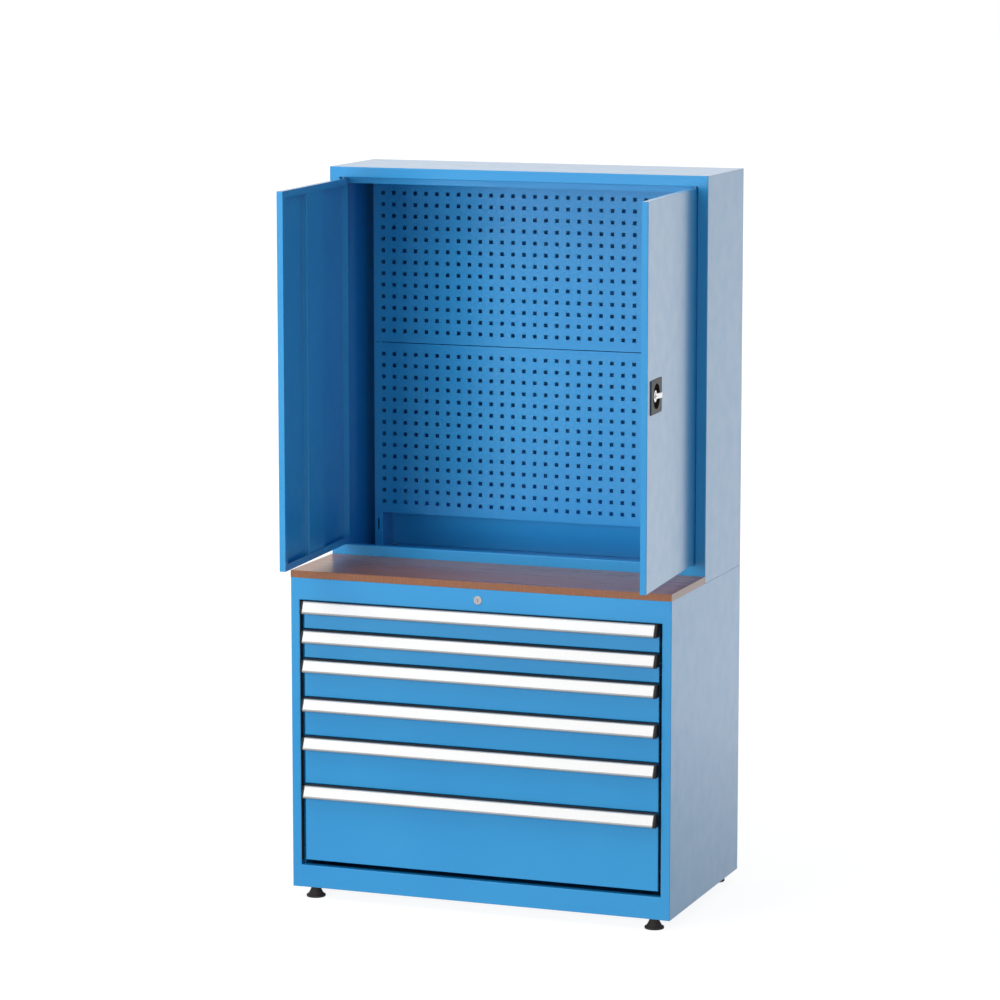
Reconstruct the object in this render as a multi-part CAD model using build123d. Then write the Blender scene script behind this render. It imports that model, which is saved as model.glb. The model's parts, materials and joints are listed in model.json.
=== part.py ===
"""Tool cabinet with doors: a six-drawer base, a worktop and a peg-board hutch.

Frame: X to the right, Y to the back, Z up, millimetres. The origin is on the floor, under the
middle of the base. The doors are stored open, the drawers shut and both locks released.
"""
from build123d import *
import os
from math import cos, hypot, radians, sin

# ---------------------------------------------------------------- driving dimensions
# overall
width = 1010.0
depth = 570.0
foot_height = 30.0
base_height = 800.0
worktop_thickness = 18.0
worktop_edge = 0.5
hutch_depth = 300.0
hutch_height = 1000.0          # above the worktop

# sheet metal
sheet = 1.2
fold_radius = 0.8              # inside radius of a fold
flange_depth = 20.0            # returns behind the front frames, and the rear flanges
panel_gap = 1.0                # a loose sheet inside its neighbours' folds
overrun = 1.0                  # how far a cut, or a piece joined to another, runs past a face

# base
base_stile = 24.0
header_height = 56.5
base_stile_return = 15.0
stack_top_gap = 1.5
stack_bottom_gap = 9.5
drawer_pitches = [75.0, 75.0, 100.0, 100.0, 125.0, 200.0]
drawer_gap = 3.0               # between one drawer front and the next
front_side_gap = 9.0           # from a drawer front to the stile
front_recess = 7.0             # drawer fronts behind the front frame
front_pan_depth = 10.0
tray_top_drop = 14.0
tray_bottom_rise = 6.0
tray_side_gap = 6.0            # from the tray's side to the drawer front's end
tray_hem = 6.0

# drawer slides
slide_length = 500.0
slide_start = 7.0              # behind the drawer front's pan
slide_thickness = 12.7
slide_height = 35.0
slide_rise = 26.0              # slide centre above the tray's floor
slide_gap = 0.5                # between one member's flanges and the next
slide_pocket = 6.0             # how far one member's flanges reach over the next
post_depth = 40.0
post_inset = 24.0

# drawer handles
grip_reach_top = 18.0
grip_reach_bottom = 31.0
grip_face = 32.0
grip_wall = 2.0
grip_fold = 1.0
grip_back_short = 2.0          # the back leg is this much shorter than the face
grip_lip = 5.5
grip_lip_rise = 24.0           # degrees that the lower lip tilts
cap_thickness = 6.0
cap_fillet = 1.0
rib_height = 1.0
label_height = 25.0
label_top = 2.5

# feet
foot_radius = 25.0
foot_neck_radius = 12.5
foot_rim = 4.0
foot_waist_radius = 14.5
foot_waist_height = 15.6
foot_inset_x = 50.0
foot_inset_y = 32.0
stud_radius = 5.0
stud_reach = 24.0              # above the base's floor
foot_plate = 44.0
foot_plate_thickness = 3.0
nut_height = 8.0
nut_width = 17.0
running_gap = 0.05
free_gap = 0.3

# central lock
lock_drop = 28.0               # below the base's top
lock_ring_radius = 11.0
lock_ring_thickness = 2.5
lock_ring_fillet = 1.2
lock_body_radius = 9.5
lock_plug_radius = 7.0
lock_body_length = 24.0
lock_nut_radius = 13.0
lock_nut_thickness = 4.0
lock_plug_recess = 0.6
lock_plug_tail = 3.0
key_slot_width = 2.0
key_slot_height = 8.0
key_slot_depth = 6.0
lock_rod_radius = 4.0
lock_disc_radius = 10.0
lock_disc_thickness = 4.0
lock_disc_gap = 1.0            # in front of the lock bar
rod_hanger_space = 27.0        # in front of the lock bar
rod_hanger_thickness = 3.0
lock_pin_radius = 2.0
lock_lift = 8.0
pin_play = 0.4
lock_bar_width = 30.0
lock_bar_thickness = 3.0
lock_bar_gap = 8.0             # from the drawers' rear catches
lock_bar_tail = 25.0           # below the lowest catch
bar_guide_side = 6.0
bar_guide_front = 3.0
bar_guide_height = 16.0
catch_reach = 20.0
catch_thickness = 2.0
catch_rise = 30.0              # above the tray's floor
catch_side_play = 2.0
catch_play = 1.5
finger_reach = 16.0            # in front of the bar
finger_thickness = 4.0
finger_height = 6.0
finger_clear = 2.0
finger_width = 12.0
finger_shelf = 3.0

# hutch
hutch_frame = 27.0             # visible width of the front frame
stop_height = 15.5
panel_plane = 225.0            # from the hutch's front to the peg panels
panel_bottom_space = 94.8
panel_top_space = 20.8
panel_return = 12.0
panel_side_gap = 1.0
panel_joint = 2.0              # between the lower and the upper peg panel
side_joint = 0.8               # groove between the base's sides and the hutch's
peg_pitch = 30.0
peg_size = 10.0
peg_edge = 25.0                # least distance from a panel's edge to a hole's centre
upright_width = 22.5
slot_width = 4.0
slot_height = 29.0
slot_pitch = 60.0
slot_first = 63.8              # above the hutch's floor
hook_thickness = 3.0
hook_height = 22.0
hook_rest = 0.3                # above the slot's lower end
hook_drop = 6.0

# doors
door_gap = 3.0
door_depth = 16.0
door_lip = 17.0
hinge_from_face = 6.0
hinge_from_end = 5.0
left_open = 87.0
right_open = 93.3
hinge_pin_radius = 2.5
hinge_pin_length = 13.0
hinge_head_radius = 4.0
hinge_head = 2.0
bush_wall = 1.2
stiffener_width = 116.0
stiffener_height = 12.4
stiffener_brim = 12.0

# door latch
dish_width = 98.0
dish_height = 83.0
dish_from_edge = 76.5
dish_plate = 2.5
dish_corner = 3.0
dish_edge = 1.0
dish_border = 6.0
dish_recess_radius = 31.0
dish_recess = 14.0
dish_recess_fillet = 6.0
dish_floor = 2.5
hub_radius = 14.0
hub_top = -0.5                 # from the door's outer face
spindle_radius = 8.0
lever_width = 12.5
# seen from above: along the lever from the axis, and behind the door's face
lever_profile = [
    (-9.0, 5.5), (-9.0, 0.5), (24.0, -7.8), (37.0, -7.0), (37.0, -3.2), (26.0, -3.2), (17.0, 5.5),
]
lever_fillet = 1.6
cylinder_radius = 6.5
cylinder_rise = 2.2
cam_radius = 28.0
cam_thickness = 3.0
cam_pin_radius = 2.5
cam_pin_play = 0.5
rod_stroke = 15.0
rod_width = 16.0
rod_thickness = 3.0
rod_offset = 9.0               # from the spindle's axis
rod_past_door = 7.0            # behind the door's rim
rod_end_clear = 3.5
rod_end = 8.0                  # beyond the cam pin
guide_width = 30.0
guide_height = 12.0
guide_inset = 60.0             # from the door's edge
guide_rise = 90.0              # from the handle
guide_wall = 2.0

# fixings
bolt_radius = 4.0
bolt_head_width = 13.0
bolt_head = 5.3
bolt_nut = 6.3
bolt_reach = 9.0               # below the deck
bolt_inset_x = 65.0
bolt_inset_front = 60.0
bolt_inset_back = 30.0

# ---------------------------------------------------------------- derived places
half = width / 2
inside = half - sheet
front = -depth / 2
back = depth / 2
base_z0 = foot_height
base_z1 = base_z0 + base_height
worktop_z1 = base_z1 + worktop_thickness
top = worktop_z1 + hutch_height
back_sheet = back - 2 * sheet

base_opening = half - base_stile
plinth_height = base_height - header_height - stack_top_gap - stack_bottom_gap - sum(drawer_pitches)
header_z = base_z1 - header_height
stack_top = header_z - stack_top_gap
front_half = base_opening - front_side_gap
front_plane = front + front_recess
tray_front = front_plane + sheet
slide_y0 = front_plane + front_pan_depth + slide_start
slide_y1 = slide_y0 + slide_length
tray_back = slide_y1

hutch_front = back - hutch_depth
hutch_opening = half - hutch_frame
hutch_sill = worktop_z1 + hutch_frame
hutch_header = top - hutch_frame
hutch_floor = base_z1 + sheet
peg_y = hutch_front + panel_plane
upright_y = peg_y + sheet

door_z0 = hutch_sill + door_gap
door_z1 = hutch_header - door_gap
door_end = hutch_opening - door_gap
hinge_x = door_end - hinge_from_end
hinge_y = hutch_front + hinge_from_face
handle_x = door_gap / 2 + dish_from_edge
handle_z = (door_z0 + door_z1) / 2
rod_y = hutch_front + door_depth + rod_past_door

lock_z = base_z1 - lock_drop
lock_bar_y = tray_back + catch_reach + lock_bar_gap
lock_throw = lock_lift / 2      # the eccentric pin stands this far right of and below the rod
catch_y = lock_bar_y - finger_reach + finger_thickness / 2

# slide members, from the tray's side outwards
tray_half = front_half - tray_side_gap
inner_height = slide_height - 4 * sheet - 4 * slide_gap
middle_height = slide_height - 2 * sheet - 2 * slide_gap
middle_web = slide_thickness - 2 * sheet - 2 * slide_gap
post_face = tray_half + slide_thickness


# ---------------------------------------------------------------- helpers
def block(x, y, z):
    """Box between two bounds on each axis."""
    (x0, x1), (y0, y1), (z0, z1) = sorted(x), sorted(y), sorted(z)
    return Pos(x0, y0, z0) * Box(x1 - x0, y1 - y0, z1 - z0, align=(Align.MIN,) * 3)


def rod(radius, start, end):
    """Round bar between two points."""
    axis = Vector(*end) - Vector(*start)
    plane = Plane(origin=start, z_dir=axis)
    return plane * Cylinder(radius, axis.length, align=(Align.CENTER, Align.CENTER, Align.MIN))


def along_x(face, x0, x1):
    """Extrude a (Y, Z) outline from x0 to x1."""
    return extrude(Plane.YZ.offset(x0) * face, x1 - x0)


def along_y(face, y0, y1):
    """Extrude an (X, Z) outline from y0 to y1."""
    return extrude(Plane.XZ.offset(-y1) * face, y1 - y0)


def along_z(face, z0, z1):
    """Extrude an (X, Y) outline from z0 to z1."""
    return extrude(Plane.XY.offset(z0) * face, z1 - z0)


def polygon(points):
    return make_face(Polyline(*points, close=True))


def folded(points, side, thickness=sheet, radius=fold_radius):
    """Outline of a bent sheet whose one face follows points; side 1 puts the metal on the left."""
    steps = [(b[0] - a[0], b[1] - a[1]) for a, b in zip(points, points[1:])]
    units = [(dx / hypot(dx, dy), dy / hypot(dx, dy)) for dx, dy in steps]
    normals = [(-uy * side, ux * side) for ux, uy in units]
    offset_points, inner, outer = [], [], []
    for i, (px, py) in enumerate(points):
        n0 = normals[max(i - 1, 0)]
        n1 = normals[min(i, len(normals) - 1)]
        scale = thickness / (1 + n0[0] * n1[0] + n0[1] * n1[1])
        moved = (px + (n0[0] + n1[0]) * scale, py + (n0[1] + n1[1]) * scale)
        offset_points.append(moved)
        if 0 < i < len(points) - 1:
            turn = units[i - 1][0] * units[i][1] - units[i - 1][1] * units[i][0]
            metal_inside = turn * side > 0
            inner.append(moved if metal_inside else (px, py))
            outer.append((px, py) if metal_inside else moved)
    face = polygon(list(points) + offset_points[::-1])
    for corners, corner_radius in ((inner, radius), (outer, radius + thickness)):
        for cx, cy in corners:
            corner = face.vertices().sort_by_distance((cx, cy, 0))[0]
            face = fillet(corner, corner_radius)
    return face


def pan(x, y, z, thickness=sheet, radius=fold_radius, lips=(0, 0, 0, 0)):
    """Sheet-metal pan whose closed face is at y[0] and whose rim is at y[1].

    lips gives the width of the return on the x0, x1, z0 and z1 side of the rim.
    """
    (x0, x1), (y0, y1), (z0, z1) = sorted(x), y, sorted(z)
    rim = y1 - thickness if any(lips) else y1
    shell = block((x0, x1), (y0, y1), (z0, z1))
    shell = fillet(shell.faces().sort_by(Axis.Y)[0].edges(), radius + thickness)
    inner_x = (x0 + thickness, x1 - thickness)
    inner_z = (z0 + thickness, z1 - thickness)
    hollow = block(inner_x, (y0 + thickness, rim), inner_z)
    hollow = fillet(hollow.faces().sort_by(Axis.Y)[0].edges(), radius)
    shell = shell - hollow
    if any(lips):
        mouth_x = (x0 + max(lips[0], thickness), x1 - max(lips[1], thickness))
        mouth_z = (z0 + max(lips[2], thickness), z1 - max(lips[3], thickness))
        shell = shell - block(mouth_x, (rim - thickness, y1 + thickness), mouth_z)
    return shell


def hexagon(across_flats, height, base):
    """Hexagonal prism standing on base, with its axis along Z."""
    side = RegularPolygon(across_flats / 2, 6, major_radius=False)
    return Pos(*base) * extrude(side, height)


def swung(shape, side, degrees):
    """Turn a door's piece about its hinge, from shut to open by that many degrees."""
    pivot = Pos(side * hinge_x, hinge_y, 0)
    return pivot * Rot(0, 0, side * degrees) * pivot.inverse() * shape


def save(name, *solids):
    """Write one node's STEP file."""
    shape = solids[0] if len(solids) == 1 else Compound(children=list(solids))
    export_step(shape, f"parts/{name}.step")


# ---------------------------------------------------------------- base
def base_side(side):
    """Folded side panel with its front stile and rear flange."""
    opening = side * base_opening
    outer = side * half
    path = [
        (opening, front + base_stile_return),
        (opening, front),
        (outer, front),
        (outer, back),
        (outer - side * flange_depth, back),
    ]
    return along_z(folded(path, side), base_z0, base_z1)


def base_deck():
    """Top sheet with the drawer header folded down in front."""
    path = [
        (front + flange_depth, header_z),
        (front, header_z),
        (front, base_z1),
        (back, base_z1),
        (back, base_z1 - flange_depth),
    ]
    return along_x(folded(path, -1), -inside, inside)


def base_pan():
    """Floor sheet with the plinth folded up in front."""
    path = [
        (front + flange_depth, base_z0 + plinth_height),
        (front, base_z0 + plinth_height),
        (front, base_z0),
        (back, base_z0),
        (back, base_z0 + flange_depth),
    ]
    return along_x(folded(path, 1), -inside, inside)


def trimmed(shape, sides, opening, face_y, return_depth, closed_z=top + 2 * sheet):
    """Cut a cross sheet back to its side panels; above closed_z it still covers the stiles' hollows."""
    for side in (-1, 1):
        beyond = (side * opening, side * (half + sheet))
        shape = shape - block(beyond, (face_y - sheet, face_y + return_depth + sheet), (0, closed_z))
        shape = shape - block(beyond, (face_y - sheet, face_y + sheet), (0, top + sheet))
        flange = (side * (half - flange_depth), side * (half + sheet))
        shape = shape - block(flange, (back - sheet, back + sheet), (0, top + sheet))
    for panel in sides:
        shape = shape - panel
    return shape


def build_base():
    left, right = base_side(-1), base_side(1)
    save("lower_left_side", left)
    save("lower_right_side", right)

    deck = trimmed(base_deck(), (left, right), base_opening, front, base_stile_return)
    lock_hole = rod(lock_body_radius, (0, front - sheet, lock_z), (0, front + 2 * sheet, lock_z))
    rod_hanger = block(
        (-lock_disc_radius, lock_disc_radius),
        (lock_bar_y - rod_hanger_space - rod_hanger_thickness, lock_bar_y - rod_hanger_space),
        (lock_z - lock_disc_radius, base_z1 - sheet),
    ) - rod(lock_rod_radius + running_gap, (0, front, lock_z), (0, back, lock_z))
    deck = deck - lock_hole
    bolt_holes, _ = joining_bolts()
    for hole in bolt_holes:
        deck = deck - hole
    save("lower_deck", deck, rod_hanger)

    floor = trimmed(base_pan(), (left, right), base_opening, front, base_stile_return)
    for hole in stud_holes():
        floor = floor - hole
    save("lower_base", floor)

    edge = inside - panel_gap
    back_panel = block(
        (-edge, edge),
        (back_sheet, back_sheet + sheet),
        (base_z0 + sheet + panel_gap, base_z1 - sheet - panel_gap),
    )
    save("lower_back", back_panel, *lock_bar_guides())

    posts = []
    for side in (-1, 1):
        for y0 in (front + post_inset, back_sheet - post_inset - post_depth):
            path = [
                (side * inside, y0),
                (side * post_face, y0),
                (side * post_face, y0 + post_depth),
                (side * inside, y0 + post_depth),
            ]
            posts.append(along_z(folded(path, -side), base_z0 + sheet, base_z1 - sheet))
    save("runner_posts", *posts)


def foot_places():
    return [
        (side_x * (half - foot_inset_x), side_y * (depth / 2 - foot_inset_y))
        for side_y in (-1, 1)
        for side_x in (-1, 1)
    ]


def stud_holes():
    holes = []
    for x, y in foot_places():
        low, high = (x, y, base_z0 - sheet), (x, y, base_z0 + stud_reach)
        holes.append(rod(stud_radius + running_gap, low, high))
    return holes


def build_feet():
    names = ["foot_front_left", "foot_front_right", "foot_rear_left", "foot_rear_right"]
    neck_top = foot_height - free_gap
    for name, (x, y) in zip(names, foot_places()):
        outline = make_face(
            Polyline(
                (0, 0), (foot_radius, 0), (foot_radius, foot_rim),
                (foot_waist_radius, foot_waist_height),
                (foot_neck_radius, neck_top), (0, neck_top), close=True,
            )
        )
        cone = Pos(x, y, 0) * revolve(Plane.XZ * outline, Axis.Z)
        stud = rod(stud_radius, (x, y, neck_top), (x, y, base_z0 + sheet + stud_reach))
        save(name, cone, stud)


# ---------------------------------------------------------------- drawers
def drawer_levels():
    """Bottom and top of each drawer's pitch, from the uppermost down."""
    levels, z = [], stack_top
    for pitch in drawer_pitches:
        levels.append((z - pitch + drawer_gap, z))
        z -= pitch
    return levels


def slide_rail(side, reach, web, height, y0, y1):
    """One channel of a slide: its web outermost, its flanges reaching in towards the tray."""
    x_web, x_tip = side * (tray_half + web + sheet), side * (tray_half + reach)
    path = [(x_tip, height / 2), (x_web, height / 2), (x_web, -height / 2), (x_tip, -height / 2)]
    return along_y(folded(path, -side), y0, y1)


def inner_rail(side, height, y0, y1):
    """The member on the tray's side, its flanges reaching out into the slide."""
    x_web, x_tip = side * tray_half, side * (tray_half + slide_pocket + sheet)
    path = [(x_tip, height / 2), (x_web, height / 2), (x_web, -height / 2), (x_tip, -height / 2)]
    return along_y(folded(path, side), y0, y1)


def grip_section(z):
    """Extruded handle outline for a drawer whose front ends at height z."""
    drop = (grip_face ** 2 - (grip_reach_bottom - grip_reach_top) ** 2) ** 0.5
    lip = (grip_lip * cos(radians(grip_lip_rise)), grip_lip * sin(radians(grip_lip_rise)))
    nose = (front_plane - grip_reach_bottom, z - drop)
    return [
        (front_plane, z - grip_face + grip_back_short),
        (front_plane, z),
        (front_plane - grip_reach_top, z),
        nose,
        (nose[0] + lip[0], nose[1] - lip[1]),
    ]


def grip_solids(z):
    """The extrusion with its two label ribs, and its end caps."""
    section = grip_section(z)
    profile_end = front_half - cap_thickness
    body = along_x(folded(section, 1, grip_wall, grip_fold), -profile_end, profile_end)
    shoulder, nose = section[2], section[3]
    down = ((nose[0] - shoulder[0]) / grip_face, (nose[1] - shoulder[1]) / grip_face)
    out = (down[1], -down[0])
    for start in (label_top - rib_height, label_top + label_height):
        corners = []
        for along, up in ((0, -rib_height / 2), (0, rib_height), (rib_height, rib_height),
                          (rib_height, -rib_height / 2)):
            corners.append((shoulder[0] + down[0] * (start + along) + out[0] * up,
                            shoulder[1] + down[1] * (start + along) + out[1] * up))
        body = body + along_x(polygon(corners), -profile_end, profile_end)
    low = section[4][1]
    cap_face = polygon([
        (front_plane, low), (front_plane, z), shoulder, (nose[0], nose[1]), (section[4][0], low),
    ])
    cap_face = fillet(cap_face.vertices(), cap_fillet)
    caps = [along_x(cap_face, *sorted((side * profile_end, side * front_half))) for side in (-1, 1)]
    return body, caps


def tray_sheets(tray_z0, tray_z1):
    """Floor, both sides, inner front and back of a tray, welded at their edges and hemmed on top."""
    tray = block((-tray_half, tray_half), (tray_front, tray_back), (tray_z0, tray_z1))
    tray = fillet(tray.edges().filter_by(Axis.Z), fold_radius + sheet)
    floor_z = tray_z0 + sheet
    room = block(
        (sheet - tray_half, tray_half - sheet),
        (tray_front + sheet, tray_back - sheet),
        (floor_z, tray_z1 - sheet),
    )
    rim_x, rim_front, rim_back = tray_half - tray_hem, tray_front + tray_hem, tray_back - tray_hem
    mouth = block((-rim_x, rim_x), (rim_front, rim_back), (tray_z1 - 2 * sheet, tray_z1 + sheet))
    tray = tray - fillet(room.edges().filter_by(Axis.Z), fold_radius) - mouth
    return [
        tray & block((-tray_half, tray_half), (tray_front, tray_back), (tray_z0, floor_z)),
        tray & block((-tray_half, -rim_x), (tray_front, tray_back), (floor_z, tray_z1)),
        tray & block((rim_x, tray_half), (tray_front, tray_back), (floor_z, tray_z1)),
        tray & block((-rim_x, rim_x), (tray_front, rim_front), (floor_z, tray_z1)),
        tray & block((-rim_x, rim_x), (rim_back, tray_back), (floor_z, tray_z1)),
    ]


def build_drawers():
    outer_rails = []
    for number, (z0, z1) in enumerate(drawer_levels(), start=1):
        tray_z0, tray_z1 = z0 + tray_bottom_rise, z1 - tray_top_drop
        slide_z = tray_z0 + slide_rise
        place = Pos(0, 0, slide_z)

        catch_z = tray_z0 + catch_rise
        catch = block(
            (-lock_bar_width / 2, lock_bar_width / 2),
            (tray_back, tray_back + catch_reach),
            (catch_z, catch_z + catch_thickness),
        ) - block(
            (-finger_width / 2 - catch_side_play, finger_width / 2 + catch_side_play),
            (catch_y - finger_thickness / 2 - catch_play, catch_y + finger_thickness / 2 + catch_play),
            (catch_z - overrun, catch_z + catch_thickness + overrun),
        )
        inner = [place * inner_rail(side, inner_height, slide_y0, slide_y1) for side in (-1, 1)]
        save(f"drawer_{number}_tray", *tray_sheets(tray_z0, tray_z1), catch, *inner)

        front_pan = pan((-front_half, front_half), (front_plane, front_plane + front_pan_depth), (z0, z1))
        save(f"drawer_{number}_front", front_pan)

        grip, caps = grip_solids(z1)
        save(f"drawer_{number}_handle", grip)
        save(f"drawer_{number}_end_caps", *caps)

        middle_reach = middle_web - slide_pocket
        save(f"slide_{number}_middle", *[
            place * slide_rail(side, middle_reach, middle_web, middle_height, slide_y0, slide_y1)
            for side in (-1, 1)
        ])
        outer_web = slide_thickness - sheet
        outer_reach = outer_web - slide_pocket
        outer_rails += [
            place * slide_rail(side, outer_reach, outer_web, slide_height, slide_y0, slide_y1)
            for side in (-1, 1)
        ]
    save("cabinet_runners", *outer_rails)


# ---------------------------------------------------------------- central lock
def finger_levels():
    """Underside of each drawer's rear catch."""
    return [z0 + tray_bottom_rise + catch_rise for z0, _ in drawer_levels()]


def lock_bar_guides():
    levels = finger_levels()
    guides = []
    for upper, lower in ((levels[1], levels[2]), (levels[-2], levels[-1])):
        z = (upper + lower) / 2
        guides.append(block(
            (-lock_bar_width / 2 - bar_guide_side, lock_bar_width / 2 + bar_guide_side),
            (lock_bar_y - bar_guide_front, back_sheet),
            (z - bar_guide_height / 2, z + bar_guide_height / 2),
        ) - block(
            (-lock_bar_width / 2 - free_gap, lock_bar_width / 2 + free_gap),
            (lock_bar_y - free_gap, lock_bar_y + lock_bar_thickness + free_gap),
            (z - bar_guide_height, z + bar_guide_height),
        ))
    return guides


def build_lock():
    front_axis = (0, front, lock_z)
    ring = rod(lock_ring_radius, (0, front - lock_ring_thickness, lock_z), front_axis)
    ring = fillet(ring.edges().sort_by(Axis.Y)[0], lock_ring_fillet)
    barrel = ring + rod(lock_body_radius, front_axis, (0, front + lock_body_length, lock_z))
    bore = rod(
        lock_plug_radius + running_gap,
        (0, front - lock_ring_thickness - overrun, lock_z),
        (0, front + lock_body_length + overrun, lock_z),
    )
    nut_end = front + sheet + lock_nut_thickness
    nut = rod(lock_nut_radius, (0, front + sheet, lock_z), (0, nut_end, lock_z))
    nut = nut - rod(lock_body_radius, front_axis, (0, nut_end + overrun, lock_z))
    save("lock_barrel", barrel - bore, nut)

    plug_face = front - lock_ring_thickness + lock_plug_recess
    plug_end = front + lock_body_length + lock_plug_tail
    disc_back = lock_bar_y - lock_disc_gap
    plug = rod(lock_plug_radius, (0, plug_face, lock_z), (0, plug_end, lock_z))
    plug = plug - block(
        (-key_slot_width / 2, key_slot_width / 2),
        (plug_face - overrun, plug_face + key_slot_depth),
        (lock_z - key_slot_height / 2, lock_z + key_slot_height / 2),
    )
    shaft = rod(lock_rod_radius, (0, front + lock_body_length, lock_z), (0, disc_back, lock_z))
    disc = rod(lock_disc_radius, (0, disc_back - lock_disc_thickness, lock_z), (0, disc_back, lock_z))
    pin_z = lock_z - lock_throw
    pin_end = lock_bar_y + lock_bar_thickness + overrun
    pin = rod(lock_pin_radius, (lock_throw, disc_back - overrun, pin_z), (lock_throw, pin_end, pin_z))
    save("lock_plug", plug + shaft + disc + pin)

    levels = finger_levels()
    bar_y1 = lock_bar_y + lock_bar_thickness
    bar = block(
        (-lock_bar_width / 2, lock_bar_width / 2),
        (lock_bar_y, bar_y1),
        (levels[-1] - lock_bar_tail, lock_z + lock_disc_radius),
    )
    throw_radius = hypot(lock_throw, lock_throw)
    slot_half = lock_pin_radius + pin_play
    bar = bar - block(
        (lock_throw - slot_half, throw_radius + slot_half),
        (lock_bar_y - overrun, bar_y1 + overrun),
        (pin_z - slot_half, pin_z + slot_half),
    )
    for level in levels:
        finger_top = level - finger_clear
        finger_bottom = finger_top - finger_height - finger_shelf
        finger_x = (-finger_width / 2, finger_width / 2)
        bar = bar + block(
            finger_x,
            (catch_y - finger_thickness / 2, lock_bar_y),
            (finger_bottom, finger_bottom + finger_shelf),
        )
        bar = bar + block(
            finger_x,
            (catch_y - finger_thickness / 2, catch_y + finger_thickness / 2),
            (finger_bottom, finger_top),
        )
    save("lock_bar", bar)


# ---------------------------------------------------------------- worktop
def build_worktop():
    board = block((-half, half), (front, hutch_front), (base_z1, worktop_z1))
    save("worktop", chamfer(board.faces().sort_by(Axis.Z)[-1].edges(), worktop_edge))


# ---------------------------------------------------------------- hutch
def hutch_side(side):
    """Folded side panel with its front stile and rear flange."""
    opening = side * hutch_opening
    outer = side * half
    path = [
        (opening, hutch_front + flange_depth),
        (opening, hutch_front),
        (outer, hutch_front),
        (outer, back),
        (outer - side * flange_depth, back),
    ]
    return along_z(folded(path, side), base_z1 + side_joint, top)


def hutch_roof():
    """Top sheet with the front header and the door stop folded from it."""
    stop_y = hutch_front + flange_depth
    path = [
        (stop_y, hutch_header - stop_height),
        (stop_y, hutch_header),
        (hutch_front, hutch_header),
        (hutch_front, top),
        (back, top),
        (back, top - flange_depth),
    ]
    return along_x(folded(path, -1), -inside, inside)


def hutch_bottom():
    """Floor sheet with the sill folded up in front."""
    path = [
        (hutch_front + flange_depth, hutch_sill),
        (hutch_front, hutch_sill),
        (hutch_front, base_z1),
        (back, base_z1),
        (back, base_z1 + flange_depth),
    ]
    return along_x(folded(path, 1), -inside, inside)


def peg_count(length):
    """How many holes fit along a panel."""
    return int((length - 2 * peg_edge) / peg_pitch) + 1


def slot_levels():
    """Centres of the slots in the uprights."""
    count = int((top - sheet - hutch_floor - slot_first) / slot_pitch) + 1
    levels = [hutch_floor + slot_first + index * slot_pitch for index in range(count)]
    return [z for z in levels if z + slot_height / 2 < top - 2 * sheet]


def panel_hooks(z0, z1):
    """Hooks on a panel's back that sit in the uprights' slots."""
    hooks = []
    usable = [z for z in slot_levels() if z0 + slot_height < z < z1 - slot_height / 2]
    neck_low, neck_high = hook_rest - slot_height / 2, hook_height - slot_height / 2
    behind = upright_y + sheet + free_gap
    for side in (-1, 1):
        x = side * (hutch_opening - upright_width / 2)
        hook_x = (x - hook_thickness / 2, x + hook_thickness / 2)
        for z in (usable[0], usable[-1]):
            neck = block(hook_x, (upright_y, behind + hook_thickness), (z + neck_low, z + neck_high))
            leg_z = (z + neck_low - hook_drop, z + neck_high)
            leg = block(hook_x, (behind, behind + hook_thickness), leg_z)
            hooks.append(neck + leg)
    return hooks


def peg_panel(z0, z1):
    panel_half = hutch_opening - panel_side_gap
    columns, rows = peg_count(2 * panel_half), peg_count(z1 - z0)
    grid = GridLocations(peg_pitch, peg_pitch, columns, rows)
    holes = [place * Rectangle(peg_size, peg_size) for place in grid]
    sheet_face = Rectangle(2 * panel_half, z1 - z0) - holes
    # the outline's normal is -Y, so the sheet grows from its back face to its front face
    panel = Pos(0, upright_y, (z0 + z1) / 2) * extrude(Plane.XZ * sheet_face, sheet)
    return_half = hutch_opening - upright_width - panel_gap
    for edge_z in ((z0, z0 + sheet), (z1 - sheet, z1)):
        panel = panel + block((-return_half, return_half), (upright_y, peg_y + panel_return), edge_z)
    return panel + panel_hooks(z0, z1)


def uprights():
    """Slotted channels that the peg panels hang on."""
    channels = []
    for side in (-1, 1):
        outer_x, inner_x = side * hutch_opening, side * (hutch_opening - upright_width)
        path = [(outer_x, back_sheet), (outer_x, upright_y), (inner_x, upright_y), (inner_x, back_sheet)]
        channel = along_z(folded(path, -side), hutch_floor, top - sheet)
        slot_x = (outer_x + inner_x) / 2
        slots = [
            block(
                (slot_x - slot_width / 2, slot_x + slot_width / 2),
                (upright_y - sheet, upright_y + 2 * sheet),
                (z - slot_height / 2, z + slot_height / 2),
            )
            for z in slot_levels()
        ]
        channels.append(channel - slots)
    return channels


def panel_levels():
    low = hutch_floor + panel_bottom_space
    high = top - sheet - panel_top_space
    middle = (low + high) / 2
    return [(low, middle - panel_joint / 2), (middle + panel_joint / 2, high)]


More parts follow.
